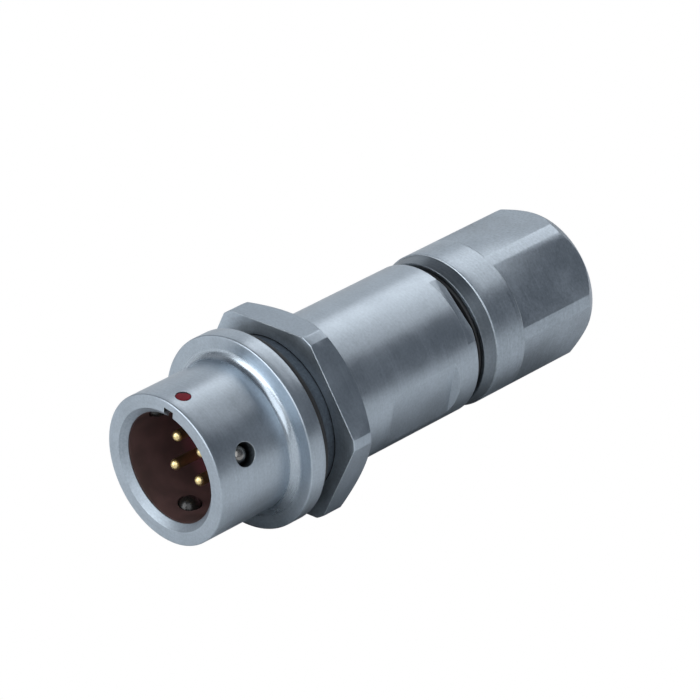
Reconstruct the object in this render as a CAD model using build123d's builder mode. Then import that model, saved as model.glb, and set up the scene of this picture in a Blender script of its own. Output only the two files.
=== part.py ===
from build123d import *
from math import cos, radians, sin, tan
import os

os.makedirs("parts", exist_ok=True)

# Circular push-pull cable connector with a panel flange, all sizes in millimetres.
# The connector's axis is Y: the mating mouth looks along -Y and the cable leaves along +Y.
# The keyway is at the top, towards +Z. The origin is on the axis at the rear face of the
# flange, which is the face that seats on a panel.

# Mating sleeve, the front tube of the shell
sleeve_radius = 4.8
sleeve_length = 6.0
rim_break = 0.06
mouth_radius = 3.53
mouth_chamfer = 0.40
mouth_lip = 0.05

# Flange with the rounded bead at its root
flange_radius = 6.18
flange_thickness = 1.2
flange_edge_break = 0.10
bead_length = 0.30
bead_height = 0.30
bead_round = 0.22

# Fixing thread behind the flange, and the relief that holds the panel seal
fixing_thread_radius = 5.5
fixing_thread_length = 4.0
relief_radius = 5.1
relief_length = 0.85

# Barrel
barrel_radius = 4.87
barrel_length = 14.65
barrel_end_chamfer = 0.28
side_flat_half_width = 4.58
side_flat_start = 6.96
side_flat_length = 6.2
rear_flat_half_width = 4.34
rear_flat_length = 0.9
rear_flat_turn = 54.0

# Bores inside the shell
seat_bore_radius = 3.70
rear_thread_radius = 4.0

# Keyway and alignment dot
keyway_width = 0.76
keyway_depth = 0.40
dot_radius = 0.48
dot_depth = 0.14
dot_setback = 1.13

# Locking balls, three round the sleeve with one opposite the keyway
ball_count = 3
ball_radius = 0.72
ball_setback = 2.33
ball_recess = 0.32
first_ball_turn = 30.0
ball_facets = 8

# Contact insert, the moulded cup that carries the pins
cup_wall = 0.25
cup_depth = 5.2
insert_length = 10.4
insert_key_length = 2.2
rear_insulator_length = 2.2

# Contacts
contact_count = 4
contact_circle_radius = 1.464
contact_radius = 0.35
contact_tip_setback = 1.65
contact_shoulder_radius = 0.58
contact_shoulder_length = 0.8
solder_cup_radius = 0.48
solder_cup_reach = 2.3
solder_bore_radius = 0.34
solder_bore_depth = 1.5
solder_window_length = 1.05
contact_nose_length = 0.24
contact_nose_taper = 0.17

# Retaining ring and cable gland
retaining_ring_length = 1.6
retaining_ring_bore = 2.75
spanner_slot_width = 0.8
spanner_slot_depth = 0.6
cable_radius = 2.5
seat_ring_length = 0.8
washer_thickness = 0.5
washer_travel_gap = 0.55
collet_wall = 0.70
collet_slot_count = 4
collet_slot_width = 0.5
collet_slot_length = 3.6
collet_nose = 0.35

# Clamp nut at the cable end
clamp_nut_gap = 0.45
clamp_nut_length = 10.07
clamp_nut_radius = 4.97
clamp_nut_front_radius = 4.69
clamp_nut_taper_length = 0.86
clamp_nut_collar_length = 2.42
clamp_nut_across_flats = 9.0
clamp_nut_turn = 13.8
clamp_nut_rear_radius = 4.40
clamp_nut_rear_length = 0.82
clamp_nut_bore_break = 0.35
spigot_length = 3.0
spigot_wall = 0.52
gland_seal_thickness = 0.20
gland_seal_width = 0.45

# Panel nut
panel_nut_across_flats = 12.0
panel_nut_corner_radius = 6.74
panel_nut_thickness = 1.95
panel_nut_setback = 1.76
panel_nut_turn = 11.4
panel_nut_chamfer_angle = 35.0
panel_nut_edge_break = 0.06
panel_seal_section = 0.35
panel_seal_facets = 4

# Clearances between pieces that fit into one another
thread_clearance = 0.03
slip_clearance = 0.03
moving_clearance = 0.10
stack_gap = 0.04
seal_clearance = 0.02

# Stations along the axis, from the mouth to the cable end
flange_front = -flange_thickness
bead_front = flange_front - bead_length
mouth = flange_front - sleeve_length
lip_end = mouth + mouth_chamfer + mouth_lip
insert_front = lip_end + slip_clearance
cup_floor = insert_front + cup_depth
insert_end = insert_front + insert_length
rear_insulator_front = insert_end + stack_gap
rear_insulator_end = rear_insulator_front + rear_insulator_length
retaining_ring_front = rear_insulator_end + stack_gap
retaining_ring_end = retaining_ring_front + retaining_ring_length
seat_ring_front = retaining_ring_end + stack_gap
gasket_front = seat_ring_front + seat_ring_length + stack_gap
clamp_nut_front = barrel_length + clamp_nut_gap
spigot_front = clamp_nut_front - spigot_length
washer_front = spigot_front - stack_gap - washer_thickness
gasket_end = washer_front - washer_travel_gap
clamp_nut_edge = clamp_nut_front + clamp_nut_taper_length
clamp_nut_flats = clamp_nut_edge + clamp_nut_collar_length
clamp_nut_end = clamp_nut_front + clamp_nut_length
ball_station = mouth + ball_setback
dot_station = mouth + dot_setback
contact_tip = mouth + contact_tip_setback

# Radii that follow from a seat and its clearance
bead_radius = sleeve_radius + bead_height
bead_bevel = bead_round * (1 - sin(radians(45)))
insert_radius = seat_bore_radius - slip_clearance
cup_radius = insert_radius - cup_wall
keyway_radius = mouth_radius + keyway_depth
gland_bore_radius = cable_radius + moving_clearance
gland_radius = rear_thread_radius - moving_clearance
spigot_radius = rear_thread_radius - thread_clearance
spigot_bore_radius = spigot_radius - spigot_wall
collet_radius = spigot_bore_radius - moving_clearance
collet_bore_radius = collet_radius - collet_wall


def station(y):
    """Plane across the axis at y, with local x along X and local y along Z."""
    return Plane.XZ.offset(-y)


def radial_plane(turn, y, radius=0.0):
    """Plane whose normal points outwards at an angle above +X."""
    outward = Vector(cos(radians(turn)), 0, sin(radians(turn)))
    return Plane(origin=outward * radius + Vector(0, y, 0), x_dir=(0, 1, 0), z_dir=outward)


# Shell: sleeve, bead, flange, fixing thread and barrel, turned from one bar
shell_outline = [
    (mouth_radius + mouth_chamfer, mouth),
    (sleeve_radius - rim_break, mouth),
    (sleeve_radius, mouth + rim_break),
    (sleeve_radius, bead_front),
    (bead_radius - bead_round, bead_front),
    (bead_radius - bead_bevel, bead_front + bead_bevel),
    (bead_radius, bead_front + bead_round),
    (bead_radius, flange_front),
    (flange_radius - flange_edge_break, flange_front),
    (flange_radius, flange_front + flange_edge_break),
    (flange_radius, -flange_edge_break),
    (flange_radius - flange_edge_break, 0),
    (relief_radius, 0),
    (relief_radius, relief_length),
    (fixing_thread_radius, relief_length + fixing_thread_radius - relief_radius),
    (fixing_thread_radius, fixing_thread_length),
    (barrel_radius, fixing_thread_length),
    (barrel_radius, barrel_length - barrel_end_chamfer),
    (barrel_radius - barrel_end_chamfer, barrel_length),
    (rear_thread_radius, barrel_length),
    (rear_thread_radius, rear_insulator_end),
    (seat_bore_radius, rear_insulator_end),
    (seat_bore_radius, lip_end),
    (mouth_radius, lip_end),
    (mouth_radius, mouth + mouth_chamfer),
]
with BuildPart() as connector_shell:
    with BuildSketch(Plane.XY):
        with BuildLine():
            Polyline(*shell_outline, shell_outline[0])
        make_face()
    revolve(axis=Axis.Y)
    # Keyway broached into the bore from the mouth as far as the insert's key
    with BuildSketch(station(mouth)):
        with Locations((0, keyway_radius / 2)):
            Rectangle(keyway_width, keyway_radius)
    extrude(amount=-(cup_floor + insert_key_length - mouth), mode=Mode.SUBTRACT)
    # Holes for the locking balls
    for number in range(ball_count):
        with BuildSketch(radial_plane(first_ball_turn + number * 360 / ball_count, ball_station)):
            Circle(ball_radius + slip_clearance)
        extrude(amount=sleeve_radius, mode=Mode.SUBTRACT)
    # Shallow recess that holds the enamel of the alignment dot
    with BuildSketch(radial_plane(90, dot_station, sleeve_radius - dot_depth)):
        Circle(dot_radius)
    extrude(amount=sleeve_radius, mode=Mode.SUBTRACT)
    # Long wrench flats on the two sides of the barrel
    with BuildSketch(station(side_flat_start)):
        Circle(flange_radius)
        Rectangle(2 * side_flat_half_width, 2 * flange_radius, mode=Mode.SUBTRACT)
    extrude(amount=-side_flat_length, mode=Mode.SUBTRACT)
    # Short flats at the rear end of the barrel
    with BuildSketch(station(barrel_length)):
        Circle(flange_radius)
        Rectangle(
            2 * rear_flat_half_width, 2 * flange_radius, rotation=rear_flat_turn, mode=Mode.SUBTRACT
        )
    extrude(amount=rear_flat_length, mode=Mode.SUBTRACT)
connector_shell.part.label = "connector_shell"
export_step(connector_shell.part, "parts/connector_shell.step")

# Alignment dot: enamel that fills the recess almost flush with the sleeve
with BuildPart() as alignment_dot:
    with BuildSketch(radial_plane(90, dot_station, sleeve_radius - dot_depth + seal_clearance)):
        Circle(dot_radius - seal_clearance)
    extrude(amount=dot_depth)
    with BuildSketch(station(dot_station - 2 * dot_radius)):
        Circle(sleeve_radius - seal_clearance)
    extrude(amount=-4 * dot_radius, mode=Mode.INTERSECT)
alignment_dot.part.label = "alignment_dot"
export_step(alignment_dot.part, "parts/alignment_dot.step")

# Locking balls, pressed into the sleeve so that they stand into its bore. Each is turned
# from a half of a many-sided polygon.
for number in range(ball_count):
    turn = first_ball_turn + number * 360 / ball_count
    ball_centre = radial_plane(turn, ball_station, sleeve_radius - ball_recess - ball_radius).origin
    with BuildPart() as lock_ball:
        with BuildSketch(Plane(ball_centre)):
            RegularPolygon(ball_radius, ball_facets)
            with Locations((-ball_radius, 0)):
                Rectangle(2 * ball_radius, 2 * ball_radius, mode=Mode.SUBTRACT)
        revolve(axis=Axis(ball_centre, (0, 1, 0)))
    lock_ball.part.label = f"lock_ball_{number + 1}"
    export_step(lock_ball.part, f"parts/lock_ball_{number + 1}.step")

# Contact positions, square to the keyway
contact_places = [
    (
        contact_circle_radius * cos(radians(45 + number * 360 / contact_count)),
        contact_circle_radius * sin(radians(45 + number * 360 / contact_count)),
    )
    for number in range(contact_count)
]
contact_hole_radius = contact_radius + slip_clearance
shoulder_hole_radius = contact_shoulder_radius + slip_clearance

# Contact insert: a cup that lines the sleeve, with its floor behind the flange
insert_outline = [
    (0, cup_floor),
    (cup_radius, cup_floor),
    (cup_radius, insert_front),
    (insert_radius, insert_front),
    (insert_radius, insert_end),
    (0, insert_end),
]
with BuildPart() as contact_insert:
    with BuildSketch(Plane.XY):
        with BuildLine():
            Polyline(*insert_outline, insert_outline[0])
        make_face()
    revolve(axis=Axis.Y)
    # Key behind the cup's floor that stops the insert turning in the shell
    with BuildSketch(station(cup_floor + slip_clearance)):
        with Locations((0, (keyway_radius + cup_radius) / 2 - slip_clearance)):
            Rectangle(keyway_width - 2 * slip_clearance, keyway_radius - cup_radius)
    extrude(amount=-(insert_key_length - 2 * slip_clearance))
    # The keyway runs on through the wall of the cup
    with BuildSketch(station(insert_front)):
        with Locations((0, (insert_radius + cup_radius) / 2)):
            Rectangle(keyway_width, 2 * cup_wall)
    extrude(amount=-cup_depth, mode=Mode.SUBTRACT)
    # Clearance for the locking balls through the wall of the cup
    for number in range(ball_count):
        turn = first_ball_turn + number * 360 / ball_count
        with BuildSketch(radial_plane(turn, ball_station, cup_radius - cup_wall)):
            Circle(ball_radius + moving_clearance)
        extrude(amount=sleeve_radius - cup_radius, mode=Mode.SUBTRACT)
    # Contact holes, each with a counterbore for the contact's shoulder
    with BuildSketch(station(cup_floor)):
        with Locations(*contact_places):
            Circle(contact_hole_radius)
    extrude(amount=-(insert_end - cup_floor), mode=Mode.SUBTRACT)
    with BuildSketch(station(insert_end)):
        with Locations(*contact_places):
            Circle(shoulder_hole_radius)
    extrude(amount=contact_shoulder_length + stack_gap, mode=Mode.SUBTRACT)
contact_insert.part.label = "contact_insert"
export_step(contact_insert.part, "parts/contact_insert.step")

# Rear insulator: closes the counterbores over the contact shoulders
cup_hole_radius = solder_cup_radius + slip_clearance
with BuildPart() as rear_insulator:
    with BuildSketch(station(rear_insulator_front)):
        Circle(insert_radius)
        with Locations(*contact_places):
            Circle(cup_hole_radius, mode=Mode.SUBTRACT)
    extrude(amount=-rear_insulator_length)
rear_insulator.part.label = "rear_insulator"
export_step(rear_insulator.part, "parts/rear_insulator.step")

# Contacts: blunt-nosed pin, trapped shoulder and solder cup
shoulder_front = insert_end - contact_shoulder_length
contact_end = rear_insulator_end + solder_cup_reach
for number, (contact_x, contact_z) in enumerate(contact_places):
    contact_axis = Axis((contact_x, 0, contact_z), (0, 1, 0))
    with BuildPart() as contact_pin:
        with BuildSketch(Plane((contact_x, 0, contact_z))):
            with BuildLine():
                Polyline(
                    (0, contact_tip),
                    (contact_radius - contact_nose_taper, contact_tip),
                    (contact_radius, contact_tip + contact_nose_length),
                    (contact_radius, shoulder_front),
                    (contact_shoulder_radius, shoulder_front),
                    (contact_shoulder_radius, insert_end),
                    (solder_cup_radius, insert_end),
                    (solder_cup_radius, contact_end),
                    (solder_bore_radius, contact_end),
                    (solder_bore_radius, contact_end - solder_bore_depth),
                    (0, contact_end - solder_bore_depth),
                    (0, contact_tip),
                )
            make_face()
        revolve(axis=contact_axis)
        # The solder cup is cut away on its outer side to let the wire in
        outward = Vector(contact_x, 0, contact_z).normalized()
        with BuildSketch(Plane((contact_x, contact_end, contact_z), x_dir=outward, z_dir=(0, -1, 0))):
            with Locations((solder_cup_radius, 0)):
                Rectangle(2 * solder_cup_radius, 4 * solder_cup_radius)
        extrude(amount=solder_window_length, mode=Mode.SUBTRACT)
    contact_pin.part.label = f"contact_pin_{number + 1}"
    export_step(contact_pin.part, f"parts/contact_pin_{number + 1}.step")

# Threaded ring that holds the insert stack against the lip in the mouth
with BuildPart() as insert_retaining_ring:
    with BuildSketch(station(retaining_ring_front)):
        Circle(spigot_radius)
        Circle(retaining_ring_bore, mode=Mode.SUBTRACT)
    extrude(amount=-retaining_ring_length)
    with BuildSketch(station(retaining_ring_end)):
        Rectangle(3 * spigot_radius, spanner_slot_width)
    extrude(amount=spanner_slot_depth, mode=Mode.SUBTRACT)
insert_retaining_ring.part.label = "insert_retaining_ring"
export_step(insert_retaining_ring.part, "parts/insert_retaining_ring.step")

# Seat ring: dished washer that the gasket is squeezed against
with BuildPart() as gasket_seat_ring:
    with BuildSketch(Plane.XY):
        with BuildLine():
            Polyline(
                (gland_bore_radius, seat_ring_front),
                (gland_radius, seat_ring_front),
                (gland_radius, seat_ring_front + seat_ring_length),
                (gland_bore_radius, seat_ring_front + seat_ring_length / 2),
                (gland_bore_radius, seat_ring_front),
            )
        make_face()
    revolve(axis=Axis.Y)
gasket_seat_ring.part.label = "gasket_seat_ring"
export_step(gasket_seat_ring.part, "parts/gasket_seat_ring.step")

# Cable gasket: rubber bush that grips and seals the cable's jacket
with BuildPart() as cable_gasket:
    with BuildSketch(station(gasket_front)):
        Circle(gland_radius)
        Circle(gland_bore_radius, mode=Mode.SUBTRACT)
    extrude(amount=-(gasket_end - gasket_front))
cable_gasket.part.label = "cable_gasket"
export_step(cable_gasket.part, "parts/cable_gasket.step")

# Slip washer: keeps the turning clamp nut from dragging the gasket round
with BuildPart() as slip_washer:
    with BuildSketch(station(washer_front)):
        Circle(gland_radius)
        Circle(gland_bore_radius, mode=Mode.SUBTRACT)
    extrude(amount=-washer_thickness)
slip_washer.part.label = "slip_washer"
export_step(slip_washer.part, "parts/slip_washer.step")

# Cable collet: slotted sleeve whose rear fingers close in the clamp nut's cone
collet_cone = collet_radius - gland_bore_radius
collet_front = spigot_front
collet_end = clamp_nut_flats + collet_nose
with BuildPart() as cable_collet:
    with BuildSketch(Plane.XY):
        with BuildLine():
            Polyline(
                (collet_bore_radius, collet_front),
                (collet_radius, collet_front),
                (collet_radius, collet_end - collet_cone + collet_nose),
                (collet_radius - collet_cone + collet_nose, collet_end),
                (collet_bore_radius, collet_end),
                (collet_bore_radius, collet_front),
            )
        make_face()
    revolve(axis=Axis.Y)
    with BuildSketch(station(collet_end)):
        for number in range(collet_slot_count // 2):
            Rectangle(3 * collet_radius, collet_slot_width, rotation=45 + number * 90)
    extrude(amount=collet_slot_length, mode=Mode.SUBTRACT)
cable_collet.part.label = "cable_collet"
export_step(cable_collet.part, "parts/cable_collet.step")

# Clamp nut: threaded spigot, tapered front edge, round collar and six flats
cone_wide = spigot_bore_radius
cone_narrow = gland_bore_radius
cone_front = collet_end - collet_cone + collet_nose + moving_clearance
clamp_nut_outline = [
    (cone_wide, spigot_front),
    (spigot_radius, spigot_front),
    (spigot_radius, clamp_nut_front),
    (clamp_nut_front_radius, clamp_nut_front),
    (clamp_nut_radius, clamp_nut_edge),
    (clamp_nut_radius, clamp_nut_end - clamp_nut_rear_length),
    (clamp_nut_rear_radius, clamp_nut_end),
    (cone_narrow + clamp_nut_bore_break, clamp_nut_end),
    (cone_narrow, clamp_nut_end - clamp_nut_bore_break),
    (cone_narrow, cone_front + cone_wide - cone_narrow),
    (cone_wide, cone_front),
]
with BuildPart() as clamp_nut:
    with BuildSketch(Plane.XY):
        with BuildLine():
            Polyline(*clamp_nut_outline, clamp_nut_outline[0])
        make_face()
    revolve(axis=Axis.Y)
    with BuildSketch(station(clamp_nut_flats)):
        Circle(2 * clamp_nut_radius)
        RegularPolygon(
            clamp_nut_across_flats / 2, 6, major_radius=False, rotation=clamp_nut_turn, mode=Mode.SUBTRACT
        )
    extrude(amount=-clamp_nut_length, mode=Mode.SUBTRACT)
clamp_nut.part.label = "clamp_nut"
export_step(clamp_nut.part, "parts/clamp_nut.step")

# Gland seal: flat ring round the spigot, against the front face of the clamp nut
gland_seal_bore = spigot_radius + seal_clearance
with BuildPart() as gland_seal:
    with BuildSketch(station(clamp_nut_front - seal_clearance)):
        Circle(gland_seal_bore + gland_seal_width)
        Circle(gland_seal_bore, mode=Mode.SUBTRACT)
    extrude(amount=gland_seal_thickness)
gland_seal.part.label = "gland_seal"
export_step(gland_seal.part, "parts/gland_seal.step")

# Panel nut: hexagon with its corners turned down and its rear edge chamfered
panel_nut_rear = panel_nut_setback + panel_nut_thickness
panel_nut_bore = fixing_thread_radius + thread_clearance
chamfer_run = panel_nut_corner_radius - panel_nut_across_flats / 2
chamfer_rise = chamfer_run * tan(radians(panel_nut_chamfer_angle))
with BuildPart() as panel_nut:
    with BuildSketch(Plane.XY):
        with BuildLine():
            Polyline(
                (panel_nut_bore, panel_nut_setback),
                (panel_nut_corner_radius - panel_nut_edge_break, panel_nut_setback),
                (panel_nut_corner_radius, panel_nut_setback + panel_nut_edge_break),
                (panel_nut_corner_radius, panel_nut_rear - chamfer_rise),
                (panel_nut_across_flats / 2, panel_nut_rear),
                (panel_nut_bore, panel_nut_rear),
                (panel_nut_bore, panel_nut_setback),
            )
        make_face()
    revolve(axis=Axis.Y)
    with BuildSketch(station(panel_nut_setback)):
        Circle(2 * panel_nut_corner_radius)
        RegularPolygon(
            panel_nut_across_flats / 2, 6, major_radius=False, rotation=panel_nut_turn, mode=Mode.SUBTRACT
        )
    extrude(amount=-panel_nut_thickness, mode=Mode.SUBTRACT)
panel_nut.part.label = "panel_nut"
export_step(panel_nut.part, "parts/panel_nut.step")

# Panel seal: ring in the relief behind the flange
panel_seal_circle = relief_radius + panel_seal_section + seal_clearance
with BuildPart() as panel_seal:
    with BuildSketch(Plane.XY):
        with Locations((panel_seal_circle, panel_seal_section + seal_clearance)):
            RegularPolygon(panel_seal_section, panel_seal_facets)
    revolve(axis=Axis.Y)
panel_seal.part.label = "panel_seal"
export_step(panel_seal.part, "parts/panel_seal.step")
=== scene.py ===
from math import atan2, cos, degrees, hypot, pi, radians, sin, sqrt, tan

import bmesh
import bpy
from mathutils import Matrix, Vector


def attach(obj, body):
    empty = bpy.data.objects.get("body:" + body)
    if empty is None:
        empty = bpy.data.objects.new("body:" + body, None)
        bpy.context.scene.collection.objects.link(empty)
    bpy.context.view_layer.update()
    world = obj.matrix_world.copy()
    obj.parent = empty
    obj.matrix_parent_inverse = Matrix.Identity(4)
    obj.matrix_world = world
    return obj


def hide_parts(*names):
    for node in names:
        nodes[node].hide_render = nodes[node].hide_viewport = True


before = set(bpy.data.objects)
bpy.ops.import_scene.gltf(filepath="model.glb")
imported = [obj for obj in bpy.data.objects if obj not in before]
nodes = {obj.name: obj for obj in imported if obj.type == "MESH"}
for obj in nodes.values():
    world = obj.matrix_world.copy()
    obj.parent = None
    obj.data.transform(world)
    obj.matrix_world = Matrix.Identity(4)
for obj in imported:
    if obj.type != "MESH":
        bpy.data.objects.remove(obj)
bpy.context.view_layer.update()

# Sizes in millimetres, along and around the connector's axis
MM = 0.001
MOUTH = -7.2
FLANGE_FRONT = -1.2
SLEEVE_R = 4.8
MOUTH_R = 3.53
MOUTH_CHAMFER = 0.40
LIP_END = -6.75
FILLET_R = 0.55
FILLET_RISE = 0.004
FLANGE_R = 6.18
RELIEF_R = 5.1
RELIEF_END = 1.98
THREAD_R = 5.5
THREAD_NECK = 2.30
THREAD_START = 2.35
THREAD_END = 3.65
THREAD_PITCH = 0.75
THREAD_DEPTH = 0.38
THREAD_SLOPE = 1.25
THREAD_FADE_IN = 0.2
THREAD_FADE_OUT = 0.4
BARREL_R = 4.87
BARREL_START = 4.0
BARREL_END = 14.65
BARREL_CHAMFER = 0.28
SEAT_BORE_R = 3.70
SEAT_BORE_END = 5.92
REAR_BORE_R = 4.0
KEYWAY_WIDTH = 0.76
KEYWAY_R = 3.93
KEYWAY_END = 0.68
NOTCH_R = 4.30
NOTCH_END = -5.7
NOTCH_EDGE = 0.05
DOT_Y = -6.07
DOT_R = 0.48
DOT_DEPTH = 0.14
DOT_GAP = 0.01
DOT_RIM_DEPTH = 0.06
DOT_DOME = 0.05
BALL_Y = -4.87
BALL_R = 0.72
BALL_CENTRE_R = 3.76
BALL_HOLE_R = 0.75
BALL_TURNS = (30, 150, 270)
SIDE_FLAT = 4.50
SIDE_FLAT_TURN = -4.5
SIDE_FLAT_START = 7.2
SIDE_FLAT_END = 12.45
REAR_FLAT = 4.34
REAR_FLAT_LENGTH = 0.9
REAR_FLAT_TURN = 54
INSERT_R = 3.67
CUP_R = 3.51
INSERT_FRONT = -6.72
INSERT_END = 3.68
CUP_FLOOR = -1.52
# The cup's floor gets painted light, fading in between these stations
FLOOR_LIGHT_START = -2.9
FLOOR_LIGHT_END = -1.9
CONTACT_OFFSET = 1.0352
CONTACT_R = 0.35
CONTACT_TIP = -5.55
CONTACT_SHOULDER = 2.88
CONTACT_END = 8.22
CONTACT_HOLE_GAP = 0.03
CONTACT_SHOULDER_R = 0.58
SOLDER_CUP_R = 0.48
SOLDER_BORE_R = 0.34
SOLDER_BORE_LENGTH = 1.5
SOLDER_CUT_LENGTH = 1.05
NUT_FRONT = 1.76
NUT_END = 3.71
NUT_CORNER_R = 6.74
NUT_FLAT = 6.0
NUT_TURN = 11.4
NUT_BORE_R = 5.53
NUT_LIP_R = 5.13
NUT_LIP_EDGE = 0.02
NUT_LIP_LENGTH = 0.20
NUT_LIP_TAPER = 0.56
NUT_CHAMFER = 0.52
NUT_BORE_CHAMFER = 0.30
NUT_FACE_DEPTH = 0.04
CLAMP_FRONT = 15.1
CLAMP_EDGE = 15.96
CLAMP_FLATS = 18.38
CLAMP_REAR_EDGE = 24.35
CLAMP_END = 25.17
CLAMP_R = 4.97
CLAMP_FRONT_R = 4.69
CLAMP_STEP = 0.08
CLAMP_REAR_R = 4.40
CLAMP_FLAT = 4.5
CLAMP_TURN = 13.8
SPIGOT_FRONT = 12.1
SPIGOT_R = 3.97
SPIGOT_BORE_R = 3.45
ENTRY_R = 2.6
ENTRY_CHAMFER = 0.35
CONE_FRONT = 18.43
GLAND_SEAL_BORE_R = 3.99
GLAND_SEAL_R = 4.44
GLAND_SEAL_FRONT = 14.88
GLAND_SEAL_END = 15.08
PANEL_SEAL_CIRCLE_R = 5.47
PANEL_SEAL_SECTION_R = 0.35
PANEL_SEAL_Y = 0.37

# Fineness of the meshes
SEGMENTS = 256
ARC_STEPS = 5
FILLET_SHARE = 0.45
SHELL_STEP = 0.30
THREAD_STEPS = 6
AXIS_R = 0.02
PIN_AXIS_R = 0.01

# Reach of the cutters, and how closely faces are told apart
SHELL_SLOT_START_R = 2.0
SHELL_HOLE_START_R = 2.5
SHELL_HOLE_END_R = 6.0
INSERT_SLOT_START_R = 2.9
INSERT_SLOT_END_R = 4.2
INSERT_HOLE_START_R = 2.6
INSERT_HOLE_END_R = 4.5
OVERSHOOT = 1
FLAT_CUTTER_WIDTH = 16
NEAR = 0.01
EDGE_GAP = 0.02
BAND = 0.1


def rounded(corners):
    """Closed outline through (radius, y, fillet) corners, each fillet drawn as an arc."""
    outline = []
    count = len(corners)
    for number, (r, y, fillet) in enumerate(corners):
        here = Vector((r, y))
        before = Vector(corners[number - 1][:2]) - here
        after = Vector(corners[(number + 1) % count][:2]) - here
        if not fillet:
            outline.append(here)
            continue
        half = before.angle(after) / 2
        longest = FILLET_SHARE * min(before.length, after.length)
        reach = min(fillet / tan(half), longest)
        radius = reach * tan(half)
        middle = (before.normalized() + after.normalized()).normalized()
        centre = here + middle * (radius / sin(half))
        start = here + before.normalized() * reach - centre
        stop = here + after.normalized() * reach - centre
        for step in range(ARC_STEPS + 1):
            spoke = start.lerp(stop, step / ARC_STEPS).normalized() * radius
            outline.append(centre + spoke)
    return outline


def divided(outline, step):
    """The outline with long straight runs cut into steps, so that cuts leave tidy faces."""
    points = []
    for number, here in enumerate(outline):
        there = outline[(number + 1) % len(outline)]
        pieces = max(1, round((there - here).length / step))
        points += [here.lerp(there, piece / pieces) for piece in range(pieces)]
    return points


def mesh_object(name, bm):
    """New object from a bmesh in millimetres, moved into metres."""
    bmesh.ops.recalc_face_normals(bm, faces=bm.faces)
    bmesh.ops.scale(bm, vec=(MM, MM, MM), verts=bm.verts)
    mesh = bpy.data.meshes.new(name)
    bm.to_mesh(mesh)
    bm.free()
    piece = bpy.data.objects.new(name, mesh)
    bpy.context.scene.collection.objects.link(piece)
    return piece


def lathe(name, outline, segments=SEGMENTS, centre=(0, 0), reshape=None):
    """Closed outline of (radius, y) turned round an axis parallel to Y through centre."""
    bm = bmesh.new()
    rings = []
    for r, y in outline:
        ring = []
        for segment in range(segments):
            turn = 2 * pi * segment / segments
            radius = reshape(r, y, turn) if reshape else r
            ring.append(bm.verts.new((centre[0] + radius * cos(turn), y, centre[1] + radius * sin(turn))))
        rings.append(ring)
    for number, ring in enumerate(rings):
        following = rings[(number + 1) % len(rings)]
        for segment in range(segments):
            beside = (segment + 1) % segments
            bm.faces.new((ring[segment], ring[beside], following[beside], following[segment]))
    return mesh_object(name, bm)


def prism(bm, corners, start, end, place=Matrix.Identity(4)):
    """Adds a closed prism to a bmesh: corners are (x, z) and it runs along y."""
    front = [bm.verts.new(place @ Vector((x, start, z))) for x, z in corners]
    back = [bm.verts.new(place @ Vector((x, end, z))) for x, z in corners]
    bm.faces.new(front)
    bm.faces.new(back[::-1])
    for number in range(len(corners)):
        beside = (number + 1) % len(corners)
        bm.faces.new((front[number], back[number], back[beside], front[beside]))


def circle(radius, count=64, centre=(0, 0)):
    """Corners of a round prism."""
    turns = [2 * pi * number / count for number in range(count)]
    return [(centre[0] + radius * cos(turn), centre[1] + radius * sin(turn)) for turn in turns]


def hexagon(half_width, turn):
    """Corners of a hexagonal prism, the first one at turn degrees above +X."""
    reach = half_width / cos(pi / 6)
    turns = [radians(turn + 60 * number) for number in range(6)]
    return [(reach * cos(angle), reach * sin(angle)) for angle in turns]


def slot(inner, outer):
    """Corners of the keyway's section, from one radius to the other."""
    side = KEYWAY_WIDTH / 2
    return [(-side, inner), (side, inner), (side, outer), (-side, outer)]


def box_beside(offset, start, end, turn, width, depth):
    """Corners and place of a block outside a flat at offset from the axis."""
    side = width / 2
    far = offset + depth
    corners = [(offset, -side), (far, -side), (far, side), (offset, side)]
    return corners, start, end, Matrix.Rotation(-radians(turn), 4, "Y")


def milled_flat(offset, start, end, turn, width, depth):
    """Prism of a flat at offset from the axis that ramps out at 45 degrees at both ends."""
    far = offset + depth
    corners = [(offset, -start), (offset, -end), (far, -end - depth), (far, depth - start)]
    place = Matrix.Rotation(-radians(turn), 4, "Y") @ Matrix.Rotation(pi / 2, 4, "X")
    return corners, -width / 2, width / 2, place


def radial_place(turn, y):
    """Matrix that stands a prism along a spoke of the sleeve, at turn degrees above +X."""
    spoke = Matrix.Rotation(-radians(turn), 4, "Y") @ Matrix.Rotation(-pi / 2, 4, "Z")
    return Matrix.Translation((0, y, 0)) @ spoke


def bake(piece):
    """Applies the modifiers of a piece to its mesh."""
    bpy.context.view_layer.update()
    evaluated = piece.evaluated_get(bpy.context.evaluated_depsgraph_get())
    mesh = bpy.data.meshes.new_from_object(evaluated)
    piece.modifiers.clear()
    piece.data = mesh


def carve(piece, cutter, operation="DIFFERENCE"):
    """Cuts one piece with another and removes the cutter."""
    modifier = piece.modifiers.new("carve", "BOOLEAN")
    modifier.operation = operation
    modifier.solver = "EXACT"
    modifier.object = cutter
    bake(piece)
    bpy.data.objects.remove(cutter)


def soften(piece, angle=28):
    """Shades a piece smooth, except across edges that bend by more than angle degrees."""
    piece.data.shade_smooth()
    piece.data.set_sharp_from_angle(angle=radians(angle))


def dress(piece, material, body, node):
    """Gives a piece its material and body, and hides the CAD node it stands for."""
    piece.data.materials.clear()
    piece.data.materials.append(material)
    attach(piece, body)
    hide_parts(node)


def repaint(piece, material, chosen):
    """Gives another material to the faces whose centre, in millimetres, is chosen."""
    piece.data.materials.append(material)
    for face in piece.data.polygons:
        if chosen(face.center / MM):
            face.material_index = len(piece.data.materials) - 1


def between(low, high, start, end):
    """Test for faces between two radii and two stations along the axis."""
    return lambda spot: start < spot.y < end and low < hypot(spot.x, spot.z) < high


# Drift of the lathe rings, in metres a radian
RING_DRIFT = 0.00008

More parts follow.
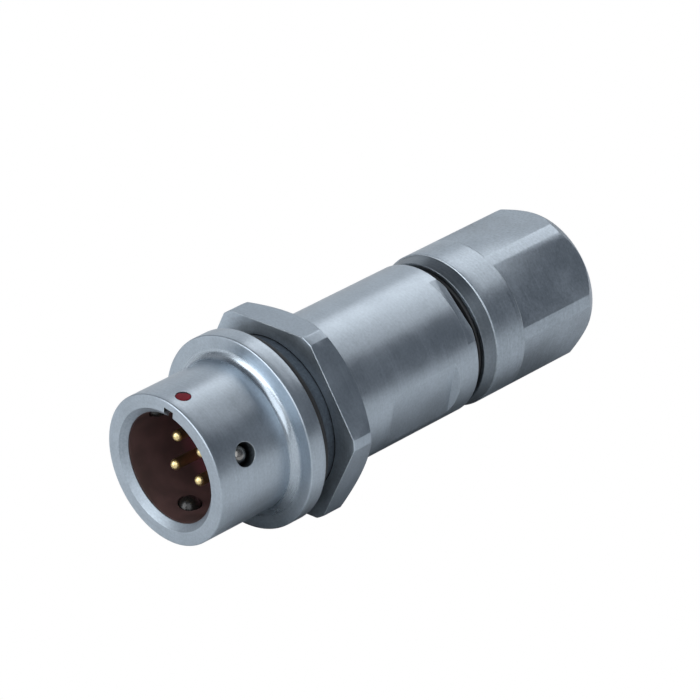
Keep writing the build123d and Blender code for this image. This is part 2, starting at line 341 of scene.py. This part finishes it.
# Scales of the materials' noises, and sizes in millimetres
STAIN_SCALE = 450
STREAK_SCALE = 9000
MOTTLE_SCALE = 6500
SPECK_SCALE = 26000
CLOUD_SCALE = 900
MOULD_SCALE = 14000
MOULD_RELIEF = 0.002
# Reach of the painted shade in creases, recesses and gaps between parts
CREVICE_SHADE_REACH = 0.9


def node_material(name):
    """Empty node material with its principled shader."""
    material = bpy.data.materials.new(name)
    material.use_nodes = True
    tree = material.node_tree
    return material, tree, tree.nodes["Principled BSDF"]


def math_node(tree, operation, a, b=None):
    """Math node fed by numbers or sockets."""
    node = tree.nodes.new("ShaderNodeMath")
    node.operation = operation
    for socket, value in zip(node.inputs, (a, b)):
        if value is None:
            continue
        if isinstance(value, (int, float)):
            socket.default_value = value
        else:
            tree.links.new(value, socket)
    return node.outputs[0]


def noise(tree, vector, scale, detail=2.0, roughness=0.5):
    """Noise texture, its values from 0 to 1."""
    node = tree.nodes.new("ShaderNodeTexNoise")
    node.inputs["Scale"].default_value = scale
    node.inputs["Detail"].default_value = detail
    node.inputs["Roughness"].default_value = roughness
    tree.links.new(vector, node.inputs["Vector"])
    return node.outputs["Fac"]


def weighted_sum(tree, *terms):
    """Sum of sockets, each with its own weight."""
    products = [math_node(tree, "MULTIPLY", value, weight) for value, weight in terms]
    total = products[0]
    for product in products[1:]:
        total = math_node(tree, "ADD", total, product)
    return total


def length_of(tree, first, second):
    """Length of a vector with these two coordinates."""
    squares = [math_node(tree, "MULTIPLY", side, side) for side in (first, second)]
    return math_node(tree, "SQRT", math_node(tree, "ADD", *squares))


def ramp(tree, value, low, high, start=0.0, end=1.0):
    """Maps a value from the range low..high to start..end."""
    node = tree.nodes.new("ShaderNodeMapRange")
    for socket, number in zip(list(node.inputs)[1:5], (low, high, start, end)):
        socket.default_value = number
    tree.links.new(value, node.inputs["Value"])
    return node.outputs["Result"]


def around(tree, value, middle, spread):
    """Maps the usual values of a noise to a range that lies evenly about a middle."""
    return ramp(tree, value, 0.3, 0.7, middle - spread, middle + spread)


def mix_colour(tree, factor, first, second):
    """Colour between two colours or sockets."""
    node = tree.nodes.new("ShaderNodeMix")
    node.data_type = "RGBA"
    tree.links.new(factor, node.inputs["Factor"])
    for socket, value in ((node.inputs[6], first), (node.inputs[7], second)):
        if isinstance(value, tuple):
            socket.default_value = (*value, 1)
        else:
            tree.links.new(value, socket)
    return node.outputs[2]


def bump(tree, height, distance, normal=None):
    """Bump node, its distance in millimetres."""
    node = tree.nodes.new("ShaderNodeBump")
    node.inputs["Strength"].default_value = 1.0
    node.inputs["Distance"].default_value = distance * MM
    tree.links.new(height, node.inputs["Height"])
    if normal:
        tree.links.new(normal, node.inputs["Normal"])
    return node.outputs["Normal"]


def turned_coordinates(tree, position):
    """Radius and station along the axis, so that noise runs as rings like lathe marks."""
    split = tree.nodes.new("ShaderNodeSeparateXYZ")
    tree.links.new(position, split.inputs[0])
    x, y, z = split.outputs
    drift = math_node(tree, "MULTIPLY", math_node(tree, "ARCTAN2", z, x), RING_DRIFT)
    join = tree.nodes.new("ShaderNodeCombineXYZ")
    for socket, value in zip(join.inputs, (length_of(tree, x, z), y, drift)):
        tree.links.new(value, socket)
    return join.outputs[0]


def plated_metal(name, light, dark, roughness, turned=0.0008, grain=0.0006, edge=(0.78, 0.84, 0.88),
                 crevice_shade=(0.06, 0.065, 0.07), rounding_width=0.05):
    """Satin plated metal: lathe rings, fine blasted grain, faint stains, brighter edges that are partly
    wear and partly a painted highlight, and painted shade in creases and recesses.
    """
    material, tree, shader = node_material(name)
    position = tree.nodes.new("ShaderNodeTexCoord").outputs["Object"]
    rings = turned_coordinates(tree, position)
    stain = noise(tree, position, STAIN_SCALE, detail=4.0, roughness=0.6)
    streak = noise(tree, rings, STREAK_SCALE, detail=3.0, roughness=0.65)
    mottle = noise(tree, position, MOTTLE_SCALE, detail=3.0, roughness=0.6)
    speck = noise(tree, position, SPECK_SCALE, detail=2.0)
    tone = weighted_sum(tree, (stain, 0.35), (streak, 0.25), (mottle, 0.4))
    colour = mix_colour(tree, ramp(tree, tone, 0.38, 0.62), dark, light)
    rounding = tree.nodes.new("ShaderNodeBevel")
    rounding.samples = 6
    rounding.inputs["Radius"].default_value = rounding_width * MM
    geometry = tree.nodes.new("ShaderNodeNewGeometry")
    compare = tree.nodes.new("ShaderNodeVectorMath")
    compare.operation = "DOT_PRODUCT"
    tree.links.new(rounding.outputs["Normal"], compare.inputs[0])
    tree.links.new(geometry.outputs["Normal"], compare.inputs[1])
    # Brighter edges: partly wear, partly a painted highlight along the rounded edges
    at_edge = ramp(tree, compare.outputs["Value"], 0.99, 0.80)
    wear_and_highlight = math_node(tree, "MULTIPLY", at_edge, ramp(tree, stain, 0.35, 0.6, 0.35, 1.0))
    # Painted shade: the colour goes dark where the occlusion node finds creases, recesses and nearby parts
    crevice_occlusion = tree.nodes.new("ShaderNodeAmbientOcclusion")
    crevice_occlusion.samples = 6
    crevice_occlusion.inputs["Distance"].default_value = CREVICE_SHADE_REACH * MM
    unshaded = ramp(tree, crevice_occlusion.outputs["AO"], 0.10, 0.60)
    shader_colour = mix_colour(tree, unshaded, crevice_shade, mix_colour(tree, wear_and_highlight, colour, edge))
    tree.links.new(shader_colour, shader.inputs["Base Color"])
    shader.inputs["Metallic"].default_value = 1.0
    sheen = math_node(tree, "ADD", around(tree, stain, roughness, 0.04), around(tree, streak, 0.0, 0.03))
    tree.links.new(sheen, shader.inputs["Roughness"])
    relief = bump(tree, streak, turned, rounding.outputs["Normal"])
    relief = bump(tree, speck, grain, relief)
    relief = bump(tree, mottle, 1.2 * grain, relief)
    tree.links.new(relief, shader.inputs["Normal"])
    return material


def moulded_plastic(name, light, dark, roughness, specular=0.5, floor_light_tone=None):
    """Moulded plastic with slight cloudiness and a fine texture, and a lighter, redder tone deep in the cup
    that is painted light.
    """
    material, tree, shader = node_material(name)
    position = tree.nodes.new("ShaderNodeTexCoord").outputs["Object"]
    cloud = noise(tree, position, CLOUD_SCALE, detail=3.0)
    grain = noise(tree, position, MOULD_SCALE, detail=2.0)
    colour = mix_colour(tree, ramp(tree, cloud, 0.35, 0.65), dark, light)
    # Painted light: a lighter, redder tone on the cup's floor, where the lamps hardly reach
    if floor_light_tone:
        split = tree.nodes.new("ShaderNodeSeparateXYZ")
        tree.links.new(position, split.inputs[0])
        depth = ramp(tree, split.outputs[1], FLOOR_LIGHT_START * MM, FLOOR_LIGHT_END * MM)
        colour = mix_colour(tree, depth, colour, floor_light_tone)
    tree.links.new(colour, shader.inputs["Base Color"])
    shader.inputs["Specular IOR Level"].default_value = specular
    tree.links.new(around(tree, cloud, roughness, 0.05), shader.inputs["Roughness"])
    tree.links.new(bump(tree, grain, MOULD_RELIEF), shader.inputs["Normal"])
    return material


nickel = plated_metal("nickel_plate_satin", (0.495, 0.56, 0.625), (0.385, 0.438, 0.492), 0.34)
nickel_flat = plated_metal(
    "nickel_plate_milled", (0.46, 0.525, 0.59), (0.36, 0.413, 0.47), 0.38, rounding_width=0.08)
nickel_blasted = plated_metal(
    "nickel_plate_blasted", (0.495, 0.56, 0.625), (0.34, 0.389, 0.438), 0.36,
    grain=0.0018, rounding_width=0.10)
nickel_ground = plated_metal(
    "nickel_plate_ground", (0.43, 0.485, 0.54), (0.31, 0.352, 0.398), 0.48, grain=0.0018)
# Rougher faced finish for the nut's front face, its lighter tone painted light
nickel_faced_painted_light = plated_metal(
    "nickel_plate_faced_painted_light", (0.53, 0.60, 0.67), (0.41, 0.468, 0.526), 0.47,
    grain=0.0012, rounding_width=0.08)
# Smoother turned finish for the flange's fillet, its lighter tone a painted highlight
nickel_turned_painted_highlight = plated_metal(
    "nickel_plate_turned_painted_highlight", (0.52, 0.585, 0.65), (0.42, 0.475, 0.53), 0.27, grain=0.0003)
nickel_shaded = plated_metal("nickel_plate_shaded", (0.25, 0.285, 0.32), (0.18, 0.207, 0.235), 0.36)
# Painted shade: a dark copy of the plate for the keyway's notch and the neck behind the flange
nickel_painted_dark_shade = plated_metal("nickel_plate_painted_dark_shade", (0.15, 0.17, 0.19), (0.09, 0.10, 0.115), 0.42)
gold = plated_metal(
    "gold_plate_bright", (0.96, 0.77, 0.40), (0.88, 0.69, 0.33), 0.34,
    turned=0.0003, grain=0.0002, edge=(1.0, 0.86, 0.55), crevice_shade=(0.25, 0.15, 0.06))
# Painted shade: a dark copy of the gold for the pins' shafts
gold_shaft_painted_shade = plated_metal(
    "gold_plate_painted_shade", (0.50, 0.42, 0.22), (0.42, 0.35, 0.18), 0.34,
    turned=0.0, grain=0.0, edge=(0.60, 0.50, 0.28), crevice_shade=(0.20, 0.15, 0.08))
steel = plated_metal(
    "ball_steel", (0.34, 0.33, 0.31), (0.26, 0.25, 0.24), 0.24,
    turned=0.0, grain=0.0002, edge=(0.60, 0.60, 0.58), crevice_shade=(0.03, 0.03, 0.03))
brown = moulded_plastic(
    "insulator_brown", (0.092, 0.051, 0.048), (0.062, 0.037, 0.035), 0.42, floor_light_tone=(0.24, 0.080, 0.100))
rubber = moulded_plastic("seal_rubber_black", (0.022, 0.022, 0.024), (0.012, 0.012, 0.013), 0.55)
# Painted shade: near-black for the balls' inner halves
ball_painted_shade = moulded_plastic("ball_inner_painted_shade", (0.012, 0.011, 0.010), (0.008, 0.008, 0.007), 0.20)
enamel = moulded_plastic(
    "dot_enamel_red", (0.24, 0.014, 0.030), (0.11, 0.010, 0.013), 0.55, specular=0.15)

# Shell


def fixing_thread(radius, y, turn):
    """Helical groove of the fixing thread, fading out at both ends."""
    if radius < THREAD_R - NEAR or not THREAD_START <= y <= THREAD_END:
        return radius
    phase = (y / THREAD_PITCH - turn / (2 * pi)) % 1.0
    groove = THREAD_DEPTH * max(0.0, 1 - abs(2 * phase - 1) * THREAD_SLOPE)
    fade = min(1.0, (y - THREAD_START) / THREAD_FADE_IN, (THREAD_END - y) / THREAD_FADE_OUT)
    return radius - groove * max(fade, 0.0)


def in_notch(spot):
    """Whether a face lies in the notch at the mouth of the keyway."""
    beside = abs(spot.x) < KEYWAY_WIDTH / 2 + NEAR
    above = MOUTH_R < spot.z < NOTCH_R + NEAR
    return beside and above and MOUTH + NOTCH_EDGE < spot.y < NOTCH_END + NEAR


# Each corner is a radius, a station along the axis and the fillet that rounds it
shell_corners = [
    (MOUTH_R + MOUTH_CHAMFER, MOUTH, 0.03), (SLEEVE_R, MOUTH, 0.09),
    (SLEEVE_R, FLANGE_FRONT, FILLET_R),
    (FLANGE_R, FLANGE_FRONT, 0.09), (FLANGE_R, 0, 0.09), (RELIEF_R, 0, 0.03), (RELIEF_R, RELIEF_END, 0.05),
    (THREAD_R, THREAD_NECK, 0.05), (THREAD_R, THREAD_END, 0.0), (BARREL_R, BARREL_START, 0.05),
    (BARREL_R, BARREL_END - BARREL_CHAMFER, 0.05), (BARREL_R - BARREL_CHAMFER, BARREL_END, 0.04),
    (REAR_BORE_R, BARREL_END, 0.04), (REAR_BORE_R, SEAT_BORE_END, 0.0), (SEAT_BORE_R, SEAT_BORE_END, 0.0),
    (SEAT_BORE_R, LIP_END, 0.0), (MOUTH_R, LIP_END, 0.02), (MOUTH_R, MOUTH + MOUTH_CHAMFER, 0.03),
]
thread_rises = [SHELL_STEP * step / THREAD_STEPS for step in range(1, THREAD_STEPS)]
shell_outline = []
for point in divided(rounded(shell_corners), SHELL_STEP):
    shell_outline.append(point)
    if point.x > THREAD_R - NEAR and THREAD_START <= point.y < THREAD_END - NEAR:
        shell_outline += [point + Vector((0, rise)) for rise in thread_rises]
shell = lathe("shell_body", shell_outline, reshape=fixing_thread)

cuts = bmesh.new()
prism(cuts, slot(SHELL_SLOT_START_R, KEYWAY_R), MOUTH - OVERSHOOT, KEYWAY_END)
for turn in BALL_TURNS:
    place = radial_place(turn, BALL_Y)
    prism(cuts, circle(BALL_HOLE_R), SHELL_HOLE_START_R, SHELL_HOLE_END_R, place)
prism(cuts, circle(DOT_R), SLEEVE_R - DOT_DEPTH, SHELL_HOLE_END_R, radial_place(90, DOT_Y))
for turn in (SIDE_FLAT_TURN, SIDE_FLAT_TURN + 180):
    flat = milled_flat(SIDE_FLAT, SIDE_FLAT_START, SIDE_FLAT_END, turn, FLAT_CUTTER_WIDTH, depth=2)
    prism(cuts, *flat)
rear_edge = (BARREL_END - REAR_FLAT_LENGTH, BARREL_END + OVERSHOOT)
for turn in (REAR_FLAT_TURN, REAR_FLAT_TURN + 180):
    prism(cuts, *box_beside(REAR_FLAT, *rear_edge, turn, FLAT_CUTTER_WIDTH, depth=3))
carve(shell, mesh_object("shell_cuts", cuts))
cuts = bmesh.new()
prism(cuts, slot(SHELL_SLOT_START_R, NOTCH_R), MOUTH - OVERSHOOT, NOTCH_END)
carve(shell, mesh_object("notch_cut", cuts))
soften(shell)
dress(shell, nickel, "housing", "connector_shell")
# The fillet gets the smoother finish and a lighter tone as a painted highlight
in_fillet = between(
    SLEEVE_R + FILLET_RISE, SLEEVE_R + FILLET_R, FLANGE_FRONT - FILLET_R, FLANGE_FRONT)
repaint(shell, nickel_turned_painted_highlight, in_fillet)
# Painted shade in the keyway's notch
repaint(shell, nickel_painted_dark_shade, in_notch)
repaint(shell, nickel_ground, between(0, MOUTH_R + MOUTH_CHAMFER, MOUTH - OVERSHOOT, LIP_END))
# Painted shade on the neck between the flange and the fixing thread
repaint(shell, nickel_painted_dark_shade, between(RELIEF_R - BAND, RELIEF_R + BAND, EDGE_GAP, RELIEF_END))


def enamel_edge(radius, _, turn):
    """Uneven edge of the hand-filled drop."""
    return radius * (0.90 - 0.07 * sin(2 * turn + 0.8) - 0.06 * sin(3 * turn + 2.0) - 0.03 * sin(7 * turn))


# Alignment dot: a slightly domed drop of enamel
dot_edge = DOT_R - DOT_GAP
dot_floor = SLEEVE_R - DOT_DEPTH
dot_rim = SLEEVE_R - DOT_RIM_DEPTH
dot_outline = [(AXIS_R, dot_floor), (dot_edge, dot_floor), (dot_edge, dot_rim)]
for angle in range(10, 90, 10):
    reach = dot_edge * cos(radians(angle))
    dot_outline.append((reach, dot_rim + DOT_DOME * sqrt(1 - (reach / DOT_R) ** 2)))
dot_outline.append((AXIS_R, dot_rim + DOT_DOME))
dot = lathe("alignment_dot_enamel", dot_outline, segments=64, reshape=enamel_edge)
dot.data.transform(Matrix.Translation((0, DOT_Y * MM, 0)) @ Matrix.Rotation(pi / 2, 4, "X"))
soften(dot)
dress(dot, enamel, "housing", "alignment_dot")

# Locking balls
for number, turn in enumerate(BALL_TURNS, 1):
    bm = bmesh.new()
    bmesh.ops.create_uvsphere(bm, u_segments=64, v_segments=32, radius=BALL_R)
    spot = Vector((BALL_CENTRE_R * cos(radians(turn)), BALL_Y, BALL_CENTRE_R * sin(radians(turn))))
    bmesh.ops.translate(bm, vec=spot, verts=bm.verts)
    ball = mesh_object(f"locking_ball_{number}", bm)
    soften(ball)
    dress(ball, steel, "housing", f"lock_ball_{number}")
    # Painted shade on each ball's inner half, the side that faces the axis
    repaint(ball, ball_painted_shade, lambda spot: hypot(spot.x, spot.z) < BALL_CENTRE_R)

# Contact insert
insert_corners = [
    (AXIS_R, CUP_FLOOR, 0.0), (CUP_R, CUP_FLOOR, 0.12), (CUP_R, INSERT_FRONT, 0.02),
    (INSERT_R, INSERT_FRONT, 0.02), (INSERT_R, INSERT_END, 0.15), (AXIS_R, INSERT_END, 0.0),
]
insert = lathe("insert_cup", divided(rounded(insert_corners), step=0.4), segments=192)
cuts = bmesh.new()
prism(cuts, slot(INSERT_SLOT_START_R, INSERT_SLOT_END_R), INSERT_FRONT - OVERSHOOT, CUP_FLOOR)
for turn in BALL_TURNS:
    place = radial_place(turn, BALL_Y)
    prism(cuts, circle(BALL_HOLE_R), INSERT_HOLE_START_R, INSERT_HOLE_END_R, place)
for x in (-CONTACT_OFFSET, CONTACT_OFFSET):
    for z in (-CONTACT_OFFSET, CONTACT_OFFSET):
        hole = circle(CONTACT_R + CONTACT_HOLE_GAP, count=48, centre=(x, z))
        prism(cuts, hole, CUP_FLOOR - OVERSHOOT, INSERT_END + OVERSHOOT)
carve(insert, mesh_object("insert_cuts", cuts))
soften(insert)
dress(insert, brown, "housing", "contact_insert")

# Contacts: round nose, shoulder behind the cup's floor and solder cup that is open outwards
nose = []
for angle in range(3, 91, 6):
    fall = CONTACT_R * (1 - cos(radians(angle)))
    nose.append(Vector((CONTACT_R * sin(radians(angle)), CONTACT_TIP + fall)))
bore_floor = CONTACT_END - SOLDER_BORE_LENGTH
rear = [
    (CONTACT_R, CONTACT_SHOULDER), (CONTACT_SHOULDER_R, CONTACT_SHOULDER), (CONTACT_SHOULDER_R, INSERT_END),
    (SOLDER_CUP_R, INSERT_END), (SOLDER_CUP_R, CONTACT_END), (SOLDER_BORE_R, CONTACT_END),
    (SOLDER_BORE_R, bore_floor), (PIN_AXIS_R, bore_floor),
]
pin_outline = divided(nose + [Vector(point) for point in rear], step=0.8)
contact_places = [
    (CONTACT_OFFSET, CONTACT_OFFSET), (-CONTACT_OFFSET, CONTACT_OFFSET),
    (-CONTACT_OFFSET, -CONTACT_OFFSET), (CONTACT_OFFSET, -CONTACT_OFFSET),
]
cup_side = (CONTACT_END - SOLDER_CUT_LENGTH, CONTACT_END + OVERSHOOT)
for number, (x, z) in enumerate(contact_places, 1):
    pin = lathe(f"gilt_pin_{number}", pin_outline, segments=48, centre=(x, z))
    outward = degrees(atan2(z, x))
    corners, start, end, facing = box_beside(0.0, *cup_side, outward, width=3, depth=2)
    cuts = bmesh.new()
    prism(cuts, corners, start, end, Matrix.Translation((x, 0, z)) @ facing)
    carve(pin, mesh_object("cup_cut", cuts))
    soften(pin)
    dress(pin, gold, "housing", f"contact_pin_{number}")
    # Painted shade on the pins' shafts behind the round noses
    repaint(pin, gold_shaft_painted_shade, lambda spot: spot.y > CONTACT_TIP + 2 * CONTACT_R)

# Panel nut
nut_corners = [
    (NUT_BORE_R, NUT_FRONT + NUT_LIP_TAPER, 0.0), (NUT_LIP_R, NUT_FRONT + NUT_LIP_LENGTH, 0.0),
    (NUT_LIP_R, NUT_FRONT + NUT_LIP_EDGE, 0.0), (NUT_LIP_R + NUT_LIP_EDGE, NUT_FRONT, 0.0),
    (NUT_CORNER_R, NUT_FRONT, 0.06), (NUT_CORNER_R, NUT_END - NUT_CHAMFER, 0.05),
    (NUT_FLAT, NUT_END, 0.05), (NUT_BORE_R + NUT_BORE_CHAMFER, NUT_END, 0.03),
    (NUT_BORE_R, NUT_END - NUT_BORE_CHAMFER, 0.03),
]
nut = lathe("hexagonal_panel_nut", divided(rounded(nut_corners), step=0.5))
cuts = bmesh.new()
prism(cuts, hexagon(NUT_FLAT, NUT_TURN), NUT_FRONT - OVERSHOOT, NUT_END + OVERSHOOT)
carve(nut, mesh_object("nut_prism", cuts), "INTERSECT")
soften(nut)
dress(nut, nickel_flat, "fixing", "panel_nut")
# The nut's front face: rougher, with a lighter tone as painted light
repaint(nut, nickel_faced_painted_light, lambda spot: spot.y < NUT_FRONT + NUT_FACE_DEPTH)

# Clamp nut
clamp_corners = [
    (SPIGOT_BORE_R, SPIGOT_FRONT, 0.04), (SPIGOT_R, SPIGOT_FRONT, 0.08), (SPIGOT_R, CLAMP_FRONT, 0.02),
    (CLAMP_FRONT_R, CLAMP_FRONT, 0.03), (CLAMP_R - CLAMP_STEP, CLAMP_EDGE, 0.01),
    (CLAMP_R, CLAMP_EDGE, 0.05), (CLAMP_R, CLAMP_REAR_EDGE, 0.06), (CLAMP_REAR_R, CLAMP_END, 0.06),
    (ENTRY_R + ENTRY_CHAMFER, CLAMP_END, 0.06), (ENTRY_R, CLAMP_END - ENTRY_CHAMFER, 0.06),
    (ENTRY_R, CONE_FRONT + SPIGOT_BORE_R - ENTRY_R, 0.1), (SPIGOT_BORE_R, CONE_FRONT, 0.05),
]
clamp = lathe("hexagonal_clamp_nut", divided(rounded(clamp_corners), step=0.6))

# The six flats are cut by a wide tube with a hexagonal bore
rings = (hexagon(CLAMP_FLAT, CLAMP_TURN), hexagon(2 * CLAMP_FLAT, CLAMP_TURN))
ends = (CLAMP_FLATS, CLAMP_END + OVERSHOOT)
cuts = bmesh.new()
rows = [[cuts.verts.new((x, y, z)) for x, z in ring] for ring in rings for y in ends]
for number in range(6):
    beside = (number + 1) % 6
    for first, second in ((0, 1), (1, 3), (3, 2), (2, 0)):
        here, there = rows[first], rows[second]
        cuts.faces.new((here[number], here[beside], there[beside], there[number]))
carve(clamp, mesh_object("clamp_flats", cuts))
soften(clamp)
dress(clamp, nickel_blasted, "clamp", "clamp_nut")
in_collar_taper = between(CLAMP_FRONT_R - BAND, CLAMP_R, CLAMP_FRONT - NEAR, CLAMP_EDGE - EDGE_GAP)
repaint(clamp, nickel_shaded, in_collar_taper)


def ring_seal(name, section, body, node):
    """Rubber ring turned from its section."""
    seal = lathe(name, section, segments=160)
    soften(seal, angle=40)
    dress(seal, rubber, body, node)


gland_section = [
    (GLAND_SEAL_BORE_R, GLAND_SEAL_FRONT, 0.06), (GLAND_SEAL_R, GLAND_SEAL_FRONT, 0.08),
    (GLAND_SEAL_R, GLAND_SEAL_END, 0.08), (GLAND_SEAL_BORE_R, GLAND_SEAL_END, 0.06),
]
ring_seal("gland_ring", rounded(gland_section), "clamp", "gland_seal")
panel_section = circle(PANEL_SEAL_SECTION_R, count=18, centre=(PANEL_SEAL_CIRCLE_R, PANEL_SEAL_Y))
ring_seal("panel_ring", panel_section, "housing", "panel_seal")

# Inner pieces that keep their CAD solids
inner_materials = {
    "rear_insulator": brown, "cable_gasket": rubber, "insert_retaining_ring": nickel_flat,
    "gasket_seat_ring": nickel_flat, "slip_washer": nickel_flat, "cable_collet": nickel_flat,
}
for name, material in inner_materials.items():
    piece = nodes[name]
    piece.data.materials.clear()
    piece.data.materials.append(material)

# Camera: the view of the photograph, with the connector rolled a little about its own axis
UNIT = SLEEVE_R * MM
UNITS_AWAY = 60
VIEW_AZIMUTH = radians(44.605)
VIEW_ELEVATION = radians(30.02)
VIEW_ROLL = radians(6.0)
VIEW_STATION = 3.3 * UNIT
VIEW_CENTRE = Vector((0, VIEW_STATION + MOUTH * MM, 0))
VIEW_RIGHT = 0.062 * UNIT
VIEW_UP = -0.2889 * UNIT
IMAGE_WIDTH = 700
PIXELS_PER_UNIT = 79.4436
SENSOR = 36

from_photo = Matrix.Rotation(-VIEW_ROLL, 3, "Y")
level = cos(VIEW_ELEVATION)
back = Vector((sin(VIEW_AZIMUTH) * level, -cos(VIEW_AZIMUTH) * level, sin(VIEW_ELEVATION)))
right = Vector((cos(VIEW_AZIMUTH), sin(VIEW_AZIMUTH), 0))
up = back.cross(right)
camera_data = bpy.data.cameras.new("camera")
camera = bpy.data.objects.new("camera", camera_data)
bpy.context.scene.collection.objects.link(camera)
camera_data.sensor_width = SENSOR
camera_data.lens = PIXELS_PER_UNIT * UNITS_AWAY / IMAGE_WIDTH * SENSOR
camera_data.clip_start = 0.001
camera_data.clip_end = 20
turned = Matrix((from_photo @ right, from_photo @ up, from_photo @ back)).transposed().to_4x4()
offset = back * UNITS_AWAY * UNIT - right * VIEW_RIGHT - up * VIEW_UP
spot = VIEW_CENTRE + from_photo @ offset
camera.matrix_world = Matrix.Translation(spot) @ turned
bpy.context.scene.camera = camera

# Floor, darker in a strip under the connector as a painted shadow for all rays but the camera's; the
# strip's sizes are in millimetres
FLOOR_DROP = 6.2 * MM
FLOOR_SIZE = 2.0
SHADE_MIDDLE = 11.5
SHADE_REACH = 11.0
SHADE_INNER = 3.5
SHADE_OUTER = 9.5
SHADE_COLOUR = (0.20, 0.21, 0.22)
PALE_COLOUR = (0.94, 0.94, 0.94)
half = FLOOR_SIZE / 2
floor_corners = [(-half, -half, 0), (half, -half, 0), (half, half, 0), (-half, half, 0)]
floor_mesh = bpy.data.meshes.new("floor")
floor_mesh.from_pydata(floor_corners, [], [(0, 1, 2, 3)])
floor = bpy.data.objects.new("floor", floor_mesh)
bpy.context.scene.collection.objects.link(floor)
floor.matrix_world = from_photo.to_4x4() @ Matrix.Translation((0, 0, -FLOOR_DROP))


def white_to_camera(tree, shader, plain_kind, output):
    """Shows plain white to the camera and the given shader to every other ray."""
    plain = tree.nodes.new(plain_kind)
    plain.inputs["Color"].default_value = (1.0, 1.0, 1.0, 1.0)
    paths = tree.nodes.new("ShaderNodeLightPath")
    blend = tree.nodes.new("ShaderNodeMixShader")
    tree.links.new(paths.outputs["Is Camera Ray"], blend.inputs[0])
    tree.links.new(shader.outputs[0], blend.inputs[1])
    tree.links.new(plain.outputs[0], blend.inputs[2])
    tree.links.new(blend.outputs[0], tree.nodes[output].inputs["Surface"])


floor_material, tree, shader = node_material("floor_pale")
ground = tree.nodes.new("ShaderNodeTexCoord").outputs["Object"]
split = tree.nodes.new("ShaderNodeSeparateXYZ")
tree.links.new(ground, split.inputs[0])
across, along, _ = split.outputs
beyond = math_node(tree, "ABSOLUTE", math_node(tree, "SUBTRACT", along, SHADE_MIDDLE * MM))
beyond = math_node(tree, "MAXIMUM", math_node(tree, "SUBTRACT", beyond, SHADE_REACH * MM), 0.0)
shade = ramp(tree, length_of(tree, across, beyond), SHADE_INNER * MM, SHADE_OUTER * MM)
tree.links.new(mix_colour(tree, shade, SHADE_COLOUR, PALE_COLOUR), shader.inputs["Base Color"])
shader.inputs["Roughness"].default_value = 0.8
white_to_camera(tree, shader, "ShaderNodeEmission", "Material Output")
floor_mesh.materials.append(floor_material)

# Surround, grey to all rays but the camera's
world = bpy.data.worlds.new("studio")
bpy.context.scene.world = world
world.use_nodes = True
surround = world.node_tree.nodes["Background"]
surround.inputs["Color"].default_value = (0.30, 0.33, 0.38, 1)
surround.inputs["Strength"].default_value = 0.42
white_to_camera(world.node_tree, surround, "ShaderNodeBackground", "World Output")

# Lamps
COOL = (0.95, 0.98, 1.0)
PALE = (0.97, 0.99, 1.0)


def softbox(name, direction, distance, width, height, power, colour=(1, 1, 1)):
    """Area lamp that looks at the connector from a direction in the photograph's upright frame."""
    lamp_data = bpy.data.lights.new(name, "AREA")
    lamp_data.shape = "RECTANGLE"
    lamp_data.size = width
    lamp_data.size_y = height
    lamp_data.energy = power
    lamp_data.color = colour
    lamp = bpy.data.objects.new(name, lamp_data)
    bpy.context.scene.collection.objects.link(lamp)
    away = from_photo @ Vector(direction).normalized()
    facing = away.to_track_quat("Z", "Y").to_matrix().to_4x4()
    lamp.matrix_world = Matrix.Translation(VIEW_CENTRE + away * distance) @ facing


# Each lamp: name, direction, distance, width, height, power and colour
softbox("key", (-0.13, 0.73, 0.67), 0.30, 0.30, 0.12, 0.20)
softbox("camera_fill", (0.55, -0.55, 0.60), 0.30, 0.34, 0.30, 0.50, COOL)
softbox("front_fill", (-0.3, -1.0, 0.1), 0.35, 0.25, 0.20, 0.36, PALE)
softbox("front_top", (-0.3, -0.8, 0.58), 0.35, 0.25, 0.20, 0.42, PALE)
softbox("left_fill", (-0.9, 0.6, 0.35), 0.40, 0.25, 0.25, 0.12, COOL)
softbox("right_side", (1.0, 0.0, 0.30), 0.40, 0.40, 0.25, 0.05)
softbox("left_side", (-1.0, 0.0, 0.30), 0.40, 0.40, 0.25, 0.07)
bpy.context.scene.view_settings.view_transform = "Standard"
